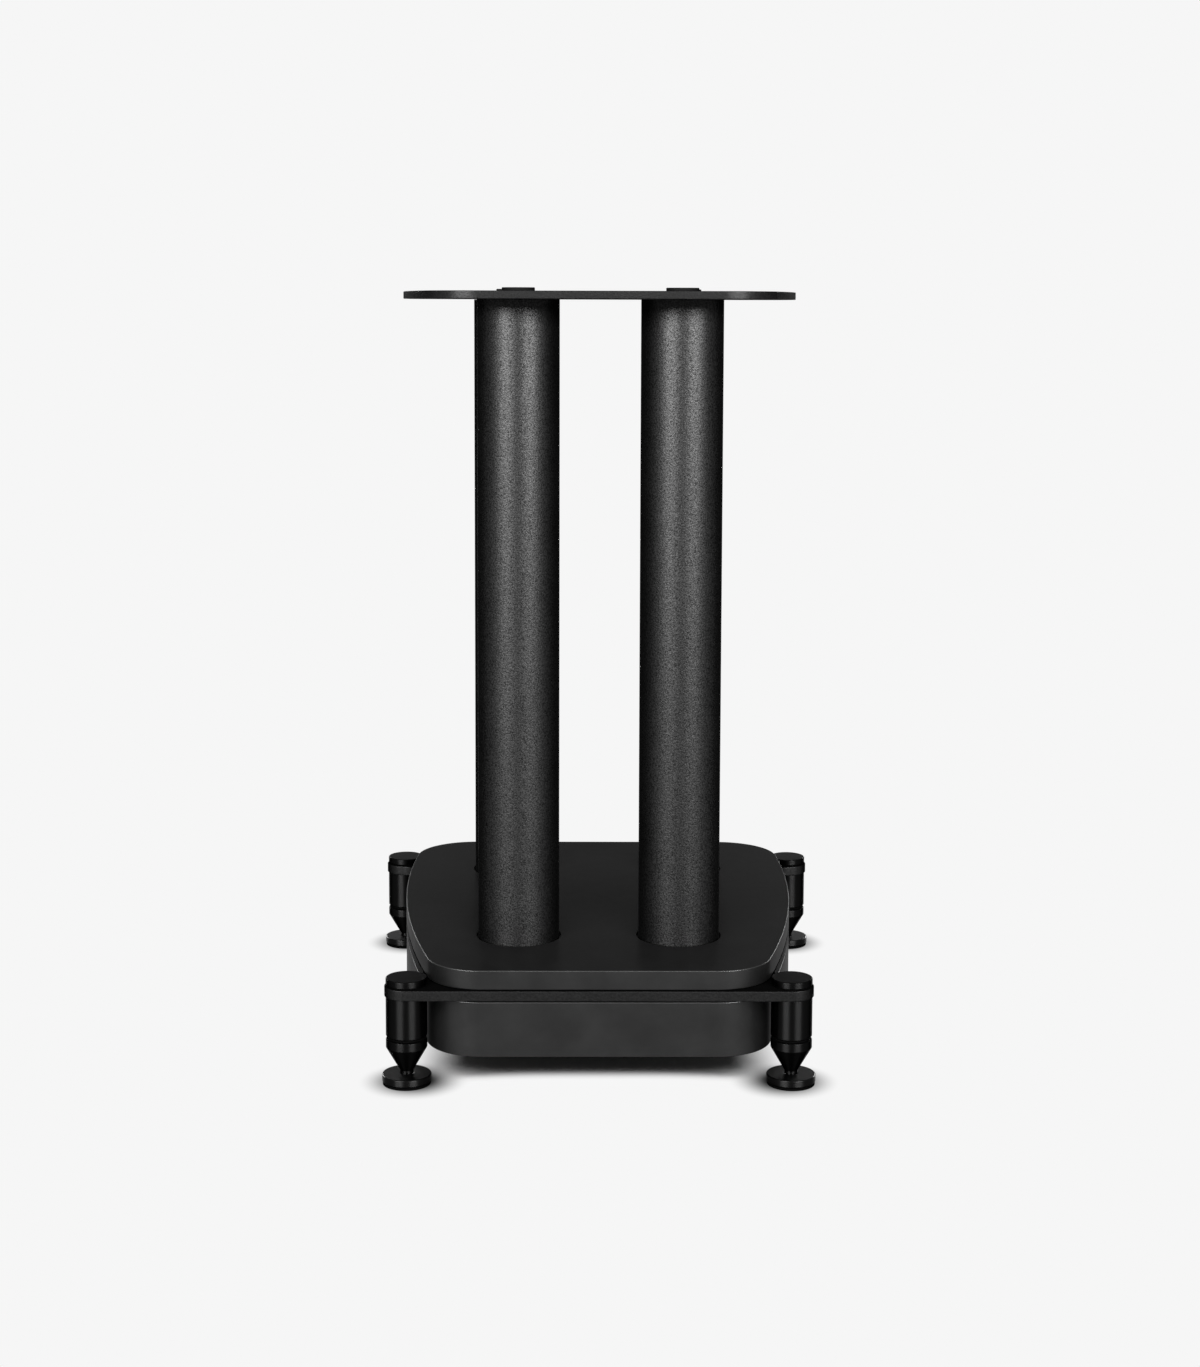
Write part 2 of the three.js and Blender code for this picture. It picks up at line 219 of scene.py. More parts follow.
def makeLacquer():
    material, tree = newMaterial("lacqueredFibreboard")
    place = addNode(tree, "ShaderNodeTexCoord").outputs["Object"]
    peel = addNode(tree, "ShaderNodeTexNoise", {
        "Scale": 1 / (lacquer["peel"] * mm), "Detail": 2.0, "Roughness": 0.5,
    }, {"Vector": place}).outputs["Fac"]
    cloud = addNode(tree, "ShaderNodeTexNoise", {
        "Scale": 1 / (lacquer["cloud"] * mm), "Detail": 4.0, "Roughness": 0.6,
    }, {"Vector": place}).outputs["Fac"]
    colours = (toLinear(lacquer["colour"]), toLinear(lacquer["thin"]))
    colour = addNode(
        tree, "ShaderNodeValToRGB", {}, {"Fac": cloud}, zip(lacquer["thinFrom"], colours),
    )
    facing = addNode(tree, "ShaderNodeNewGeometry").outputs["Normal"]
    tilt = addNode(tree, "ShaderNodeSeparateXYZ", {}, {"Vector": facing}).outputs["Z"]
    upDown = addNode(tree, "ShaderNodeMath", {"operation": "ABSOLUTE"}, {0: tilt})
    # painted highlight: where a normal lies between side and face, on the rounded edges, the colour
    # turns lighter
    edge = addNode(
        tree, "ShaderNodeValToRGB", {}, {"Fac": upDown.outputs["Value"]},
        zip(lacquer["paintedEdgeHighlightTilt"], (black, white, white, black)),
    )
    # a colour mix has its share at 0 and its two colours at 6 and 7
    shade = addNode(tree, "ShaderNodeMix", {
        "data_type": "RGBA", 7: toLinear(lacquer["paintedEdgeHighlight"]),
    }, {0: edge.outputs["Color"], 6: colour.outputs["Color"]})
    roughness, spread = lacquer["roughness"], lacquer["glossSpread"]
    gloss = addNode(tree, "ShaderNodeMapRange", {
        **noiseSpan, "To Min": roughness - spread, "To Max": roughness + spread,
    }, {"Value": cloud})
    bump = addNode(tree, "ShaderNodeBump", {
        "Strength": 1.0, "Distance": lacquer["peelHeight"] * mm,
    }, {"Height": peel})
    shader = addNode(tree, "ShaderNodeBsdfPrincipled", {
        "Metallic": lacquer["metallic"],
        "Specular IOR Level": 0.0,
        "Specular Tint": toLinear(lacquer["edgeTint"]),
    }, {
        "Base Color": shade.outputs[2],
        "Roughness": gloss.outputs["Result"],
        "Normal": bump.outputs["Normal"],
    })
    addNode(tree, "ShaderNodeOutputMaterial", {}, {"Surface": shader.outputs["BSDF"]})
    return material


# Black anodised aluminium: turned, then dyed. The dye is near black and the lathe's fine
# feed lines stay under it, so a light shows as a thin line drawn out across the lines.
anodised = {
    "anodisedFoot": {"colour": "#0f0f0f", "edgeTint": "#b3b3b3"},
    "anodisedDisc": {"colour": "#141414", "edgeTint": "#c5c5c5"},
    "under": "#060606",  # painted shade: faces that look down, such as the cone, are drawn darker
    "underTilt": {"From Min": -0.15, "From Max": -0.4},  # a normal's z, upright to down
    "metallic": 0.92,
    "roughness": 0.36,
    "glossSpread": 0.04,
    "anisotropic": 0.88,  # on the turned sides; the faced ends have none
    "feed": 0.5,  # mm between feed lines; about 0.1 on the lathe, drawn wider so they show
    "feedHeight": 0.004,
}


def makeAnodised(name):
    dye = anodised[name]
    material, tree = newMaterial(name)
    place = addNode(tree, "ShaderNodeAttribute", {"attribute_name": "fromAxis"})
    split = addNode(tree, "ShaderNodeSeparateXYZ", {}, {"Vector": place.outputs["Vector"]})
    flat = addNode(tree, "ShaderNodeCombineXYZ", {}, {
        "X": split.outputs["X"], "Y": split.outputs["Y"],
    })
    radius = addNode(tree, "ShaderNodeVectorMath", {"operation": "LENGTH"}, {
        0: flat.outputs["Vector"],
    })
    along = addNode(tree, "ShaderNodeMath", {"operation": "ADD"}, {
        0: radius.outputs["Value"], 1: split.outputs["Z"],
    })
    rings = addNode(tree, "ShaderNodeCombineXYZ", {}, {"X": along.outputs["Value"]})
    feed = addNode(tree, "ShaderNodeTexNoise", {
        "Scale": 1 / (anodised["feed"] * mm), "Detail": 2.0,
    }, {"Vector": rings.outputs["Vector"]})
    bump = addNode(tree, "ShaderNodeBump", {
        "Strength": 1.0, "Distance": anodised["feedHeight"] * mm,
    }, {"Height": feed.outputs["Fac"]})
    roughness, spread = anodised["roughness"], anodised["glossSpread"]
    gloss = addNode(tree, "ShaderNodeMapRange", {
        **noiseSpan, "To Min": roughness - spread, "To Max": roughness + spread,
    }, {"Value": feed.outputs["Fac"]})
    facing = addNode(tree, "ShaderNodeNewGeometry").outputs["Normal"]
    tilt = addNode(tree, "ShaderNodeSeparateXYZ", {}, {"Vector": facing}).outputs["Z"]
    sides = addNode(tree, "ShaderNodeMapRange", {
        **flatSpan, "To Min": anodised["anisotropic"], "To Max": 0.0,
    }, {"Value": tilt})
    # painted shade: the colour darkens as a face turns down
    paintedUnderShadeMask = addNode(tree, "ShaderNodeMapRange", anodised["underTilt"], {"Value": tilt})
    colour = addNode(tree, "ShaderNodeMix", {
        "data_type": "RGBA", 6: toLinear(dye["colour"]), 7: toLinear(anodised["under"]),
    }, {0: paintedUnderShadeMask.outputs["Result"]})
    aroundAxis = addNode(tree, "ShaderNodeVectorMath", {
        "operation": "CROSS_PRODUCT", 0: (0, 0, 1),
    }, {1: place.outputs["Vector"]})
    shader = addNode(tree, "ShaderNodeBsdfPrincipled", {
        "Metallic": anodised["metallic"],
        "Specular IOR Level": 0.0,
        "Specular Tint": toLinear(dye["edgeTint"]),
        "Anisotropic Rotation": 0.25,  # a quarter turn, across the feed lines
    }, {
        "Base Color": colour.outputs[2],
        "Anisotropic": sides.outputs["Result"],
        "Roughness": gloss.outputs["Result"],
        "Normal": bump.outputs["Normal"],
        "Tangent": aroundAxis.outputs["Vector"],
    })
    addNode(tree, "ShaderNodeOutputMaterial", {}, {"Surface": shader.outputs["BSDF"]})
    return material


# Black rubber: moulded, matt, with a slight bloom of dust-grey on its skin.
rubber = {
    "mouldedRubber": {"colour": "#161616", "bloom": "#1f1f1f"},  # the top pads
    "rubberDarkenedForShade": {"colour": "#050505", "bloom": "#0b0b0b"},  # black rubber drawn darker still, as painted shade, for the rings, washers and floor pads, which sit in grooves and under other parts
    "metallic": 0.4,
    "edgeTint": "#808080",
    "roughness": 0.75,
    "skin": 0.8,  # mm between the dimples of the mould's spark-eroded face
    "skinHeight": 0.03,
    "bloomFrom": (0.4, 0.8),  # noise values from clean to bloomed
}


def makeRubber(name):
    material, tree = newMaterial(name)
    place = addNode(tree, "ShaderNodeTexCoord").outputs["Object"]
    skin = addNode(tree, "ShaderNodeTexNoise", {
        "Scale": 1 / (rubber["skin"] * mm), "Detail": 3.0,
    }, {"Vector": place}).outputs["Fac"]
    colours = (toLinear(rubber[name]["colour"]), toLinear(rubber[name]["bloom"]))
    colour = addNode(
        tree, "ShaderNodeValToRGB", {}, {"Fac": skin}, zip(rubber["bloomFrom"], colours),
    )
    bump = addNode(tree, "ShaderNodeBump", {
        "Strength": 1.0, "Distance": rubber["skinHeight"] * mm,
    }, {"Height": skin})
    shader = addNode(tree, "ShaderNodeBsdfPrincipled", {
        "Metallic": rubber["metallic"],
        "Roughness": rubber["roughness"],
        "Specular IOR Level": 0.0,
        "Specular Tint": toLinear(rubber["edgeTint"]),
    }, {"Base Color": colour.outputs["Color"], "Normal": bump.outputs["Normal"]})
    addNode(tree, "ShaderNodeOutputMaterial", {}, {"Surface": shader.outputs["BSDF"]})
    return material


# Steel inside the stand: the plugs are bare and turned, the fasteners blackened.
steels = {
    "turnedMildSteel": {"colour": "#8b8a88", "stain": "#6f6b66", "roughness": 0.38},
    "blackenedSteel": {"colour": "#232324", "stain": "#1a1a1b", "roughness": 0.42},
    "lineApart": 0.4,  # mm between the lines of the turning, up the axis
    "lineRun": 11.111,  # mm along a line
    "lineHeight": 0.01,
    "blotch": 8.333,  # mm
    "stainFrom": (0.35, 0.7),  # noise values from clean to stained
}


def makeSteel(name):
    finish = steels[name]
    material, tree = newMaterial(name)
    place = addNode(tree, "ShaderNodeTexCoord").outputs["Object"]
    along, up = 1 / (steels["lineRun"] * mm), 1 / (steels["lineApart"] * mm)
    stretched = addNode(tree, "ShaderNodeMapping", {"Scale": (along, along, up)}, {
        "Vector": place,
    })
    lines = addNode(tree, "ShaderNodeTexNoise", {
        "Scale": 1.0, "Detail": 3.0,
    }, {"Vector": stretched.outputs["Vector"]}).outputs["Fac"]
    blotch = addNode(tree, "ShaderNodeTexNoise", {
        "Scale": 1 / (steels["blotch"] * mm), "Detail": 4.0,
    }, {"Vector": place}).outputs["Fac"]
    colours = (toLinear(finish["colour"]), toLinear(finish["stain"]))
    colour = addNode(
        tree, "ShaderNodeValToRGB", {}, {"Fac": blotch}, zip(steels["stainFrom"], colours),
    )
    bump = addNode(tree, "ShaderNodeBump", {
        "Strength": 1.0, "Distance": steels["lineHeight"] * mm,
    }, {"Height": lines})
    shader = addNode(tree, "ShaderNodeBsdfPrincipled", {
        "Metallic": 1.0, "Roughness": finish["roughness"],
    }, {"Base Color": colour.outputs["Color"], "Normal": bump.outputs["Normal"]})
    addNode(tree, "ShaderNodeOutputMaterial", {}, {"Surface": shader.outputs["BSDF"]})
    return material


# one for each slot of the frame
finishes = {
    "powder_coated_steel": makePowderCoat("powderCoatedTube"),
    "lacquered_board": makeLacquer(),
    "anodised_aluminium": makeAnodised("anodisedFoot"),
    "rubber": makeRubber("mouldedRubber"),
    "mild_steel": makeSteel("turnedMildSteel"),
    "black_steel": makeSteel("blackenedSteel"),
}
# parts whose look differs from the rest of their slot
otherFinishes = {
    "topPlate": makePowderCoat("powderCoatedTopPlate"),
    "outriggerPlate": makePowderCoat("powderCoatedOutrigger"),
    "floor_disc": makeAnodised("anodisedDisc"),
    **dict.fromkeys(("washer", "lock_ring", "disc_pad"), makeRubber("rubberDarkenedForShade")),
}
print("materials made")


# Mesh helpers

edgeRounding = {"sharperThan": radians(28), "segments": 3}
smoothBelow = radians(40)  # between faces, so that the countersinks stay crisp
weld = 0.0005  # closer vertices become one
meetGap = 0.01  # an outline this close to the middle joins its mirror image
onLevel = 0.001  # a vertex this close to a height lies on it
wellSteps = 64
capCorners = 8  # a face with more corners is a slab's broad face


def vertsIn(geometry):
    return [part for part in geometry if isinstance(part, bmesh.types.BMVert)]


def breakEdges(bm, edges, rounding):
    bmesh.ops.bevel(
        bm, geom=edges, offset=rounding, offset_type="OFFSET", affect="EDGES",
        segments=edgeRounding["segments"], profile=0.5, clamp_overlap=True, material=-1,
    )


def finishPiece(bm, name, slot, body, nodes, shift=(0, 0), finish=None):
    # the mesh is closed, turned to metres, put in place and handed to the frame; fromAxis
    # keeps each vertex's place from the piece's own axis for the turned finishes
    bmesh.ops.remove_doubles(bm, verts=bm.verts[:], dist=weld)
    bmesh.ops.recalc_face_normals(bm, faces=bm.faces[:])
    bmesh.ops.scale(bm, verts=bm.verts[:], vec=(mm, mm, mm))
    fromAxis = bm.verts.layers.float_vector.new("fromAxis")
    for vert in bm.verts:
        vert[fromAxis] = vert.co
    bmesh.ops.translate(bm, verts=bm.verts[:], vec=(shift[0] * mm, shift[1] * mm, 0))
    mesh = bpy.data.meshes.new(name)
    bm.to_mesh(mesh)
    bm.free()
    mesh.shade_smooth()
    mesh.set_sharp_from_angle(angle=smoothBelow)
    mesh.materials.append(finish or finishes[slot])
    piece = bpy.data.objects.new(name, mesh)
    bpy.context.scene.collection.objects.link(piece)
    evenNormals = piece.modifiers.new("evenNormals", "WEIGHTED_NORMAL")
    evenNormals.keep_sharp = True
    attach(piece, body)
    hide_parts(*nodes)


def turnProfile(bm, profile, steps, centre=(0, 0)):
    # a line of radius and height, spun full circle round an upright axis
    line = [bm.verts.new((centre[0] + radius, centre[1], height)) for radius, height in profile]
    edges = [bm.edges.new(pair) for pair in zip(line, line[1:])]
    bmesh.ops.spin(
        bm, geom=line + edges, cent=(*centre, 0), axis=(0, 0, 1), dvec=(0, 0, 0),
        angle=2 * pi, steps=steps, use_merge=True, use_duplicate=False,
    )


def turned(profile, steps, rounding):
    # a solid turned piece with its edges broken
    bm = bmesh.new()
    turnProfile(bm, profile, steps)
    bmesh.ops.remove_doubles(bm, verts=bm.verts[:], dist=weld)
    bmesh.ops.recalc_face_normals(bm, faces=bm.faces[:])
    sharp = [
        edge for edge in bm.edges
        if len(edge.link_faces) == 2 and edge.calc_face_angle() > edgeRounding["sharperThan"]
    ]
    breakEdges(bm, sharp, rounding)
    return bm


def lineTo(bm, vert, x, y):
    grown = bmesh.ops.extrude_vert_indiv(bm, verts=[vert])["verts"][0]
    bmesh.ops.translate(bm, verts=[grown], vec=(x - vert.co.x, y - vert.co.y, 0))
    return grown


def arcTo(bm, vert, centre, angle, steps):
    # drags a vertex round a centre, which leaves a chain of edges behind it
    made = bmesh.ops.spin(
        bm, geom=[vert], cent=(*centre, vert.co.z), axis=(0, 0, 1), dvec=(0, 0, 0),
        angle=angle, steps=steps, use_merge=False, use_duplicate=False,
    )
    return vertsIn(made["geom_last"])[0]


def slab(drawHalf, bottom, top, rounding, wells, groove=None):
    # the right half of an outline, mirrored, thickened and rounded at its rims, with wells
    # through it, each a place and a profile from the top face down to the bottom one; a
    # groove steps the rim back at the bottom or the top, by a height and a depth
    bm = bmesh.new()
    level, high, deep = groove or (None, 0, 0)
    low = bottom + high if level == bottom else bottom
    thickness = (top - high if level == top else top) - low
    drawHalf(bm, low)
    bmesh.ops.mirror(
        bm, geom=bm.verts[:] + bm.edges[:], matrix=Matrix.Identity(4), merge_dist=meetGap,
        axis="X",
    )
    bmesh.ops.remove_doubles(bm, verts=bm.verts[:], dist=weld)
    face = bmesh.ops.contextual_create(bm, geom=bm.edges[:])["faces"]
    grown = bmesh.ops.extrude_face_region(bm, geom=face)["geom"]
    bmesh.ops.translate(bm, verts=vertsIn(grown), vec=(0, 0, thickness))
    bmesh.ops.recalc_face_normals(bm, faces=bm.faces[:])
    rims = [edge for edge in bm.edges if edge.verts[0].co.z == edge.verts[1].co.z]
    breakEdges(bm, rims, rounding)
    caps = [face for face in bm.faces if len(face.verts) > capCorners]
    if groove:
        stepped = [face for face in caps if abs(face.calc_center_median().z - level) < 2 * high]
        bmesh.ops.inset_region(bm, faces=stepped, thickness=deep, use_even_offset=True)
        raised = vertsIn(bmesh.ops.extrude_face_region(bm, geom=stepped)["geom"])
        bmesh.ops.delete(bm, geom=stepped, context="FACES_ONLY")
        bmesh.ops.translate(bm, verts=raised, vec=(0, 0, level - raised[0].co.z))
        caps = [face for face in bm.faces if len(face.verts) > capCorners]
    # the broad faces are filled again once the wells are there, which leaves their holes open
    bmesh.ops.delete(bm, geom=caps, context="FACES_ONLY")
    for place, profile in wells:
        turnProfile(bm, profile, wellSteps, place)
    bmesh.ops.remove_doubles(bm, verts=bm.verts[:], dist=weld)
    for height in (bottom, top):
        openEdges = [
            edge for edge in bm.edges
            if edge.is_boundary and all(abs(vert.co.z - height) < onLevel for vert in edge.verts)
        ]
        bmesh.ops.triangle_fill(bm, use_beauty=True, edges=openEdges, normal=(0, 0, 1))
    return bm


# Plinth outline: straight front and rear, bowed sides, round corners

plinth = {
    "halfDepth": 204,
    "halfWidth": 167.2,  # at the widest place of the bowed sides
    "widestY": 86,
    "sideRadius": 1000,
    "frontCorner": 44,  # radius
    "rearCorner": 52,
    "cornerSteps": 28,
    "sideSteps": 60,
}
sideCentre = (plinth["halfWidth"] - plinth["sideRadius"], plinth["widestY"])


def sideX(y, offset):
    # where the right-hand bowed side, moved outwards by offset, lies at a given y
    return sideCentre[0] + sqrt((plinth["sideRadius"] + offset) ** 2 - (y - sideCentre[1]) ** 2)


def angleFrom(centre, place):
    return atan2(place[1] - centre[1], place[0] - centre[0])


def drawPlinth(bm, level, inset=0):
    # its corners are drawn round their own centres, and each side round sideCentre
    edge, frontRadius, rearRadius = plinth["halfDepth"], plinth["frontCorner"], plinth["rearCorner"]
    front = (sideX(frontRadius - edge, -frontRadius), frontRadius - edge)
    rear = (sideX(edge - rearRadius, -rearRadius), edge - rearRadius)
    frontAngle = angleFrom(sideCentre, front)
    rearAngle = angleFrom(sideCentre, rear)
    start = bm.verts.new((0, inset - edge, level))
    vert = lineTo(bm, start, front[0], inset - edge)
    vert = arcTo(bm, vert, front, frontAngle + pi / 2, plinth["cornerSteps"])
    vert = arcTo(bm, vert, sideCentre, rearAngle - frontAngle, plinth["sideSteps"])
    vert = arcTo(bm, vert, rear, pi / 2 - rearAngle, plinth["cornerSteps"])
    lineTo(bm, vert, 0, edge - inset)


# Boards

boards = {
    "lower": (26, 69.7),
    "upper": (78.3, 94),
    "rounding": 0.8,
    "recessRadius": 34,  # round each pillar's foot
    "recessDepth": 3,
    "lip": 0.4,  # the rounded edge of a recess or counterbore
    "lipBelly": 0.3,  # share of the lip by which the middle of its curve is cut back
    "grooveHeight": 0.5,  # the step beside the outrigger plate, which draws a dark line
    "grooveDepth": 1.5,
    "boltHole": 5.5,
    "counterbore": 12,
    "counterboreTop": 36.3,
}

pillars = {
    "y": 106,
    "frontX": 64.4,
    "rearX": 77,
    "radius": 32.5,
    "wall": 2,
    "bottom": 91.3,
    "top": 603.7,
    "rounding": 0.3,
    "steps": 144,
}


def pillarPlace(corner):
    side, end = corners[corner]
    return (side * pillars["frontX" if end < 0 else "rearX"], end * pillars["y"])


def lipProfile(radius, level, inwards):
    # from a board's face over the rounded lip to the wall of the well
    lip = boards["lip"]
    belly = lip * boards["lipBelly"]
    return [
        (radius + lip, level),
        (radius + belly, level + inwards * belly),
        (radius, level + inwards * lip),
    ]


def makeBoard(name, node, wellProfile, grooveLevel, bottom, top):
    wells = [(pillarPlace(corner), wellProfile) for corner in corners]
    groove = (grooveLevel, boards["grooveHeight"], boards["grooveDepth"])
    bm = slab(drawPlinth, bottom, top, boards["rounding"], wells, groove)
    finishPiece(bm, name, "lacquered_board", "frame", [node])


def makeBoards():
    rim, bore, hole = boards["recessRadius"], boards["counterbore"], boards["boltHole"]
    bottom, top = boards["upper"]
    floor = top - boards["recessDepth"]
    recess = [*lipProfile(rim, top, -1), (rim, floor), (hole, floor), (hole, bottom)]
    makeBoard("upperBoard", "upper_board", recess, bottom, bottom, top)
    bottom, top = boards["lower"]
    roof = boards["counterboreTop"]
    counterbore = [(hole, top), (hole, roof), (bore, roof), *reversed(lipProfile(bore, bottom, 1))]
    makeBoard("lowerBoard", "lower_board", counterbore, top, bottom, top)


makeBoards()
print("boards made")


# Top plate

topPlate = {
    "bottom": 604,
    "top": 610,
    "inset": 0.5,  # its outline lies this far inside the boards'
    "rounding": 0.5,
    "hole": 4.5,
    "countersink": 7.9,
}


def drawTopPlate(bm, level):
    drawPlinth(bm, level, topPlate["inset"])


def makeTopPlate():
    bottom, top, hole = topPlate["bottom"], topPlate["top"], topPlate["hole"]
    sink = topPlate["countersink"]
    profile = [(sink, top), (hole, top - sink + hole), (hole, bottom)]
    wells = [(pillarPlace(corner), profile) for corner in corners]
    bm = slab(drawTopPlate, bottom, top, topPlate["rounding"], wells)
    finish = otherFinishes["topPlate"]
    finishPiece(bm, "topPlate", "powder_coated_steel", "frame", ["top_plate"], finish=finish)


makeTopPlate()


# Outrigger plate: the bowed sides run through small fillets into a round ear at each corner

outrigger = {
    "bottom": 70,
    "top": 78,
    "rounding": 0.5,
    "earRadius": 17,
    "earY": 188,
    "fillet": 18,
    "reach": {-1: 19, 1: 17},  # from the bowed side to the ear's centre, front and rear
    "hole": 5.5,
    "earSteps": 40,
    "filletSteps": 14,
}


def footPlace(corner):
    side, end = corners[corner]
    y = end * outrigger["earY"]
    return (side * sideX(y, outrigger["reach"][end]), y)


def earFillet(corner):
    # the fillet's centre, and the directions to it from the ear's and the side's centres
    end = corners[corner][1]
    ear = footPlace(corner)
    fromSide = plinth["sideRadius"] + outrigger["fillet"]
    fromEar = outrigger["earRadius"] + outrigger["fillet"]
    apart = hypot(ear[0] - sideCentre[0], ear[1] - sideCentre[1])
    along = (fromSide ** 2 - fromEar ** 2 + apart ** 2) / (2 * apart)
    angle = angleFrom(sideCentre, ear) - end * acos(along / fromSide)
    centre = (sideCentre[0] + fromSide * cos(angle), sideCentre[1] + fromSide * sin(angle))
    return ear, centre, angleFrom(ear, centre), angle


def drawOutrigger(bm, level):
    frontEar, frontFillet, frontFromEar, frontFromSide = earFillet("front_right")
    rearEar, rearFillet, rearFromEar, rearFromSide = earFillet("rear_right")
    edge = outrigger["earY"] + outrigger["earRadius"]
    ears, fillets = outrigger["earSteps"], outrigger["filletSteps"]
    start = bm.verts.new((0, -edge, level))
    vert = lineTo(bm, start, frontEar[0], -edge)
    vert = arcTo(bm, vert, frontEar, frontFromEar + pi / 2, ears)
    vert = arcTo(bm, vert, frontFillet, frontFromSide - frontFromEar, fillets)
    vert = arcTo(bm, vert, sideCentre, rearFromSide - frontFromSide, plinth["sideSteps"])
    vert = arcTo(bm, vert, rearFillet, rearFromEar - rearFromSide, fillets)
    vert = arcTo(bm, vert, rearEar, pi / 2 - rearFromEar, ears)
    lineTo(bm, vert, 0, edge)


def makeOutrigger():
    profile = [(outrigger["hole"], outrigger["top"]), (outrigger["hole"], outrigger["bottom"])]
    wells = [(place(corner), profile) for place in (pillarPlace, footPlace) for corner in corners]
    bm = slab(drawOutrigger, outrigger["bottom"], outrigger["top"], outrigger["rounding"], wells)
    finishPiece(
        bm, "outriggerPlate", "powder_coated_steel", "frame", ["outrigger_plate"],
        finish=otherFinishes["outriggerPlate"],
    )


makeOutrigger()
print("plates made")


# Pillars and the pads over them

pads = {"radius": 13, "bottom": 610.3, "top": 613, "rounding": 0.6, "steps": 72}


def makePillar(corner):
    outer, bottom, top = pillars["radius"], pillars["bottom"], pillars["top"]
    inner = outer - pillars["wall"]
    profile = [(inner, bottom), (outer, bottom), (outer, top), (inner, top), (inner, bottom)]
    bm = turned(profile, pillars["steps"], pillars["rounding"])
    name = "pillar_" + corner
    finishPiece(bm, name + "_tube", "powder_coated_steel", "frame", [name], pillarPlace(corner))


def makePad(corner):
    radius, bottom, top = pads["radius"], pads["bottom"], pads["top"]
    profile = [(0, bottom), (radius, bottom), (radius, top), (0, top)]
    bm = turned(profile, pads["steps"], pads["rounding"])
    name = "pad_" + corner
    finishPiece(bm, name + "_rubber", "rubber", "frame", [name], pillarPlace(corner))


for corner in corners:
    makePillar(corner)
    makePad(corner)
print("pillars and pads made")


# Feet, from the top: cap bolt, washer, the plate's ear, barrel, lock ring, spike, disc, pad

foot = {
    "radius": 16,
    "steps": 96,
    "threadRadius": 5,
    "bore": 5.35,
    "cap": (79.4, 84.3),
    "capThreadEnd": 60.7,
    "capChamfer": 0.6,
    "washer": (78.3, 79.1),
    "washerRadius": 15.4,
    "barrel": (38.5, 69.7),
    "barrelChamfer": 0.5,
    "ring": (36.4, 38.2),
    "ringRadius": 15.2,
    "spikePoint": 5.3,
    "neckRadius": 5.2,
    "neckTop": 10.9,
    "collar": (29.5, 36.1),
    "collarChamfer": 0.4,
    "stemTop": 59.5,
    "disc": (2.3, 8.2),
    "discRadius": 19.1,
    "discChamfer": 0.6,
    "dimpleRadius": 5.6,
    "dimpleDepth": 3.2,
    "pad": (0, 2),
    "padRadius": 18.6,
}


def footProfiles():
    radius, bore, thread = foot["radius"], foot["bore"], foot["threadRadius"]
    capBottom, capTop = foot["cap"]
    washerBottom, washerTop = foot["washer"]
    barrelBottom, barrelTop = foot["barrel"]
    ringBottom, ringTop = foot["ring"]
    collarBottom, collarTop = foot["collar"]
    discBottom, discTop = foot["disc"]
    padBottom, padTop = foot["pad"]
    point, neck, disc = foot["spikePoint"], foot["neckRadius"], foot["discRadius"]
    pointTop = point + neck * (foot["dimpleDepth"] / foot["dimpleRadius"])
    capCut, discCut = foot["capChamfer"], foot["discChamfer"]
    barrelCut, collarCut = foot["barrelChamfer"], foot["collarChamfer"]
    ring, washer, pad = foot["ringRadius"], foot["washerRadius"], foot["padRadius"]
    return {
        "cap_bolt": [
            (0, foot["capThreadEnd"]), (thread, foot["capThreadEnd"]), (thread, capBottom),
            (radius, capBottom), (radius, capTop - capCut), (radius - capCut, capTop),
            (0, capTop),
        ],
        "washer": [
            (bore, washerBottom), (washer, washerBottom), (washer, washerTop),
            (bore, washerTop), (bore, washerBottom),
        ],
        "barrel": [
            (bore, barrelBottom), (radius - barrelCut, barrelBottom),
            (radius, barrelBottom + barrelCut), (radius, barrelTop),
            (bore, barrelTop), (bore, barrelBottom),
        ],
        "lock_ring": [
            (bore, ringBottom), (ring, ringBottom), (ring, ringTop), (bore, ringTop),
            (bore, ringBottom),
        ],
        "spike": [
            (0, point), (neck, pointTop), (neck, foot["neckTop"]),
            (radius, collarBottom), (radius, collarTop - collarCut),
            (radius - collarCut, collarTop), (thread, collarTop),
            (thread, foot["stemTop"]), (0, foot["stemTop"]),
        ],
        "floor_disc": [
            (0, discBottom), (disc - discCut, discBottom), (disc, discBottom + discCut),
            (disc, discTop - discCut), (disc - discCut, discTop),
            (foot["dimpleRadius"], discTop), (0, discTop - foot["dimpleDepth"]),
        ],
        "disc_pad": [
            (0, padBottom), (pad, padBottom), (pad, padTop), (0, padTop),
        ],
    }


footParts = {
    "cap_bolt": ("anodised_aluminium", "frame", 0.25),  # slot, body, edge rounding
    "washer": ("rubber", "frame", 0.2),
    "barrel": ("anodised_aluminium", "frame", 0.2),
    "lock_ring": ("rubber", "spike", 0.5),
    "spike": ("anodised_aluminium", "spike", 0.2),
    "floor_disc": ("anodised_aluminium", "disc", 0.3),
    "disc_pad": ("rubber", "disc", 0.3),
}
for corner in corners:
    for part, profile in footProfiles().items():
        slot, body, rounding = footParts[part]
        bm = turned(profile, foot["steps"], rounding)
        node = "foot_" + corner + "_" + part
        home = body if body == "frame" else body + "_" + corner
        finish = otherFinishes.get(part)
        finishPiece(bm, node + "_turned", slot, home, [node], footPlace(corner), finish)
print("feet made")


# CAD pieces that stay as they are, inside the stand

kept = {
    "top_plug": "mild_steel",
    "bottom_plug": "mild_steel",
    "top_screw": "black_steel",
    "base_bolt": "black_steel",
}
for corner in corners:
    for part, slot in kept.items():
        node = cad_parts[part + "_" + corner]
        node.data.materials.clear()
        node.data.materials.append(finishes[slot])
print("CAD pieces dressed")


# Floor, world and lamps

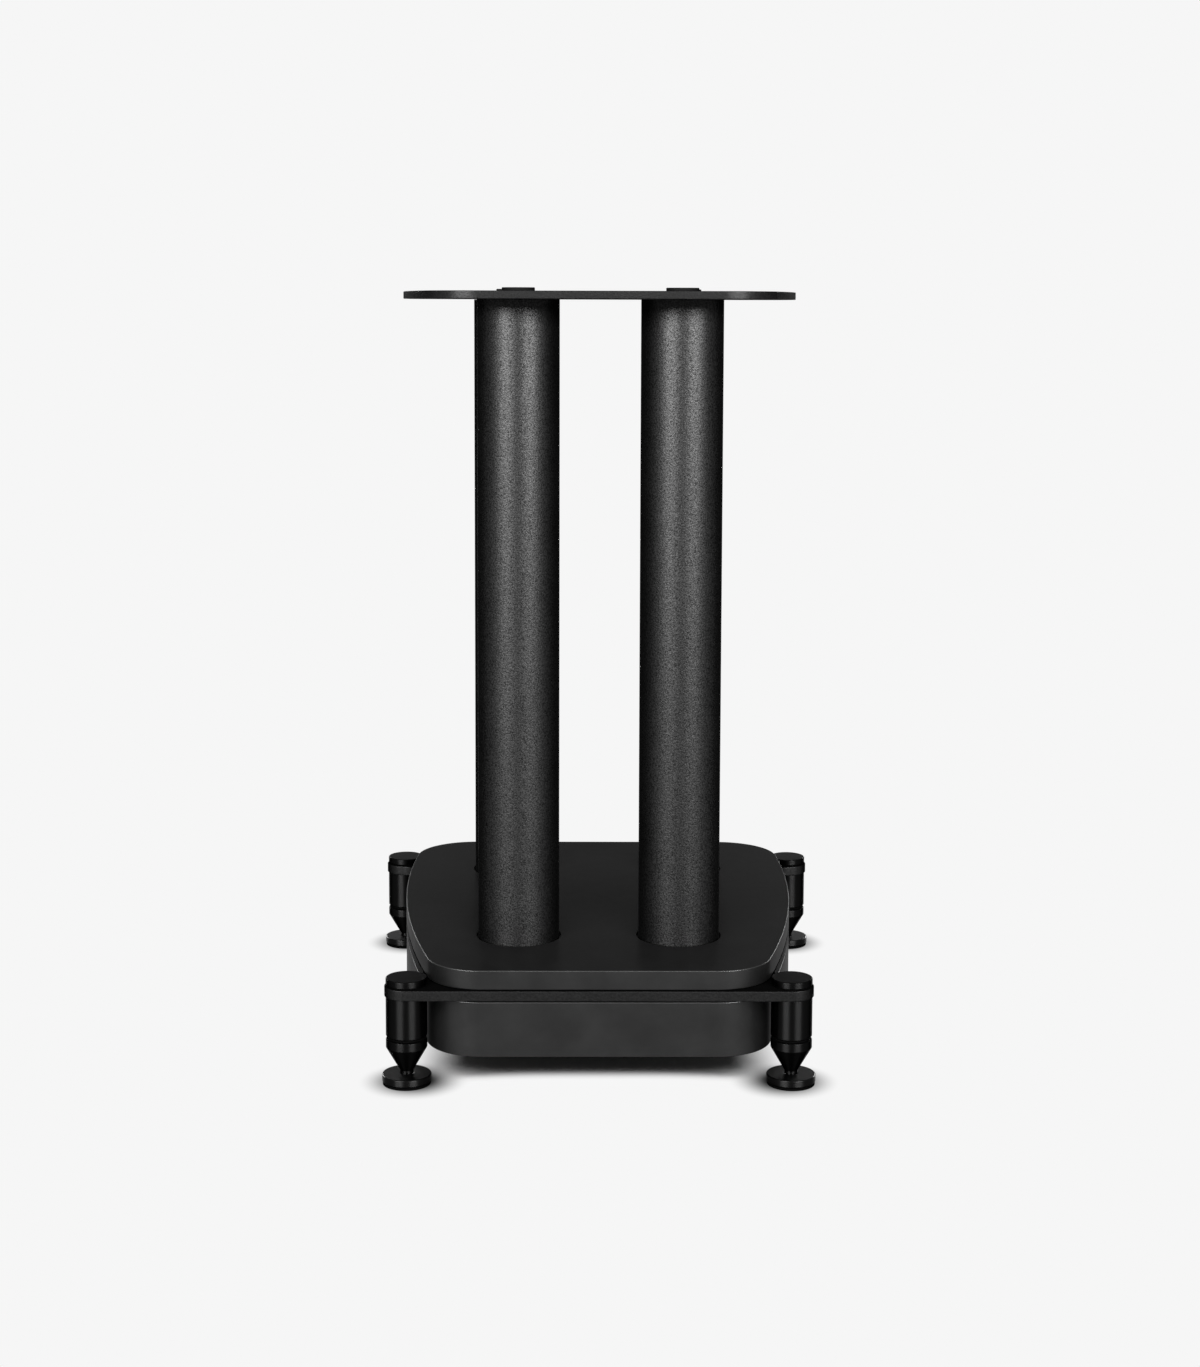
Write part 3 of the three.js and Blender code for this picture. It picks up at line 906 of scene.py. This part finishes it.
studio = {
    "pale": "#f6f6f6",
    "fadeAcross": (0.104, 0.16),  # m from the middle: the lit floor turns to plain pale
    "fadeAlong": (0.159, 0.183),
    "arch": (0.014, 0.117),  # m: how far the shadow's front bows out, and where across
    "archPower": 4.0,
    "contact": (0.01, 0.044),  # m: the painted shadow round each floor disc
    "contactShift": (-0.005, 0.004),  # m: its centre from the foot's axis, across and along
    "ambient": 0.12,
    "floorRadius": 30,
    "floorSteps": 96,
}


def paleRays(tree):
    # 1 for the rays that show the pale surroundings, 0 for the ones that light the object
    path = addNode(tree, "ShaderNodeLightPath")
    seen = addNode(tree, "ShaderNodeMath", {"operation": "MAXIMUM"}, {
        0: path.outputs["Is Camera Ray"], 1: path.outputs["Is Glossy Ray"],
    })
    seen = addNode(tree, "ShaderNodeMath", {"operation": "MAXIMUM"}, {
        0: seen.outputs["Value"], 1: path.outputs["Is Transmission Ray"],
    })
    return seen.outputs["Value"]


def makeWorld():
    world = bpy.data.worlds.new("paleStudio")
    bpy.context.scene.world = world
    world.use_nodes = True
    tree = world.node_tree
    tree.nodes.clear()
    ambient = addNode(tree, "ShaderNodeBackground", {
        "Color": white, "Strength": studio["ambient"],
    })
    pale = addNode(tree, "ShaderNodeBackground", {
        "Color": toLinear(studio["pale"]), "Strength": 1.0,
    })
    mix = addNode(tree, "ShaderNodeMixShader", {}, {
        0: paleRays(tree), 1: ambient.outputs["Background"], 2: pale.outputs["Background"],
    })
    addNode(tree, "ShaderNodeOutputWorld", {}, {"Surface": mix.outputs["Shader"]})


def makeFloor():
    bm = bmesh.new()
    bmesh.ops.create_circle(
        bm, cap_ends=True, segments=studio["floorSteps"], radius=studio["floorRadius"],
    )
    mesh = bpy.data.meshes.new("floor")
    bm.to_mesh(mesh)
    bm.free()
    material, tree = newMaterial("palePaper")
    place = addNode(tree, "ShaderNodeTexCoord").outputs["Object"]
    # the stand's own shadow shows within a box round it, whose front edge bows out
    quarter = addNode(tree, "ShaderNodeVectorMath", {"operation": "ABSOLUTE"}, {0: place})
    split = addNode(tree, "ShaderNodeSeparateXYZ", {}, {"Vector": quarter.outputs["Vector"]})
    rise, reach = studio["arch"]
    outwards = addNode(tree, "ShaderNodeMath", {"operation": "DIVIDE", 1: reach}, {
        0: split.outputs["X"],
    })
    curve = addNode(tree, "ShaderNodeMath", {"operation": "POWER", 1: studio["archPower"]}, {
        0: outwards.outputs["Value"],
    })
    signed = addNode(tree, "ShaderNodeSeparateXYZ", {}, {"Vector": place})
    front = addNode(tree, "ShaderNodeMath", {"operation": "LESS_THAN", 1: 0.0}, {
        0: signed.outputs["Y"],
    })
    frontCurve = addNode(tree, "ShaderNodeMath", {"operation": "MULTIPLY"}, {
        0: curve.outputs["Value"], 1: front.outputs["Value"],
    })
    along = addNode(tree, "ShaderNodeMath", {"operation": "MULTIPLY_ADD", 1: -rise}, {
        0: frontCurve.outputs["Value"], 2: split.outputs["Y"],
    })
    shade = [
        addNode(tree, "ShaderNodeMapRange", {
            "interpolation_type": "SMOOTHSTEP", "From Min": studio[fade][0],
            "From Max": studio[fade][1], "To Min": 1.0, "To Max": 0.0,
        }, {"Value": distance}).outputs["Result"]
        for fade, distance in (
            ("fadeAcross", split.outputs["X"]), ("fadeAlong", along.outputs["Value"]),
        )
    ]
    covered = addNode(tree, "ShaderNodeMath", {"operation": "MULTIPLY"}, {
        0: shade[0], 1: shade[1],
    })
    clear = addNode(tree, "ShaderNodeMath", {"operation": "SUBTRACT", 0: 1.0}, {
        1: covered.outputs["Value"],
    })
    plain = addNode(tree, "ShaderNodeMath", {"operation": "MULTIPLY"}, {
        0: clear.outputs["Value"], 1: paleRays(tree),
    })
    # painted shadow: the paper is drawn darker round the nearest foot; the left feet mirror the
    # right ones
    here = addNode(tree, "ShaderNodeCombineXYZ", {}, {
        "X": split.outputs["X"], "Y": signed.outputs["Y"],
    }).outputs["Vector"]
    shift = Vector((*studio["contactShift"], 0))
    fromFeet = [
        addNode(tree, "ShaderNodeVectorMath", {
            "operation": "DISTANCE", 1: Vector((*footPlace(corner), 0)) * mm + shift,
        }, {0: here}).outputs["Value"]
        for corner in ("front_right", "rear_right")
    ]
    nearest = addNode(tree, "ShaderNodeMath", {"operation": "MINIMUM"}, {
        0: fromFeet[0], 1: fromFeet[1],
    })
    contact = addNode(tree, "ShaderNodeMapRange", {
        "interpolation_type": "SMOOTHSTEP",
        "From Min": studio["contact"][0], "From Max": studio["contact"][1],
    }, {"Value": nearest.outputs["Value"]})
    paperWithPaintedShadow = addNode(tree, "ShaderNodeVectorMath", {
        "operation": "SCALE", 0: toLinear(studio["pale"])[:3],
    }, {"Scale": contact.outputs["Result"]}).outputs["Vector"]
    lit = addNode(tree, "ShaderNodeBsdfDiffuse", {}, {"Color": paperWithPaintedShadow})
    glow = addNode(tree, "ShaderNodeEmission", {"Strength": 1.0}, {"Color": paperWithPaintedShadow})
    mix = addNode(tree, "ShaderNodeMixShader", {}, {
        0: plain.outputs["Value"], 1: lit.outputs["BSDF"], 2: glow.outputs["Emission"],
    })
    addNode(tree, "ShaderNodeOutputMaterial", {}, {"Surface": mix.outputs["Shader"]})
    mesh.materials.append(material)
    floor = bpy.data.objects.new("floor", mesh)
    bpy.context.scene.collection.objects.link(floor)


suns = {
    "sunFront": {"azimuth": 0, "elevation": 41, "spread": 30, "strength": 1.42},
    "sunLeft": {"azimuth": -25, "elevation": 41, "spread": 30, "strength": 1.42},
    "sunRight": {"azimuth": 25, "elevation": 41, "spread": 30, "strength": 1.42},
}
sunAway = 4  # m
softBoxes = {
    "boxFrontLeft": {"azimuth": -33, "watts": 1500},
    "boxFrontRight": {"azimuth": 32.5, "watts": 1420},
    "boxRearLeft": {"azimuth": -145, "watts": 1000},
    "boxRearRight": {"azimuth": 145, "watts": 1000},
}
boxAway, boxHeight, boxSize = 6, 1.6, (3.2, 1)  # m


def aim(lamp, place, target):
    lamp.matrix_world = (
        Matrix.Translation(place) @ (target - place).to_track_quat("-Z", "Y").to_matrix().to_4x4()
    )


def direction(azimuth, elevation):
    # azimuth 0 comes from the front, positive from the right
    across, up = radians(azimuth), radians(elevation)
    return Vector((sin(across) * cos(up), -cos(across) * cos(up), sin(up)))


def makeLamps():
    for name, sun in suns.items():
        data = bpy.data.lights.new(name, "SUN")
        data.energy = sun["strength"]
        data.angle = radians(sun["spread"])
        lamp = bpy.data.objects.new(name, data)
        bpy.context.scene.collection.objects.link(lamp)
        aim(lamp, direction(sun["azimuth"], sun["elevation"]) * sunAway, Vector((0, 0, 0)))
        lamp.visible_glossy = False  # the soft boxes alone give the highlights
    height = Vector((0, 0, boxHeight))
    for name, box in softBoxes.items():
        data = bpy.data.lights.new(name, "AREA")
        data.shape = "RECTANGLE"
        data.size, data.size_y = boxSize
        data.energy = box["watts"]
        lamp = bpy.data.objects.new(name, data)
        bpy.context.scene.collection.objects.link(lamp)
        aim(lamp, direction(box["azimuth"], 0) * boxAway + height, height)
        lamp.visible_camera = False
        lamp.visible_diffuse = False


makeWorld()
makeFloor()
makeLamps()
print("studio made")
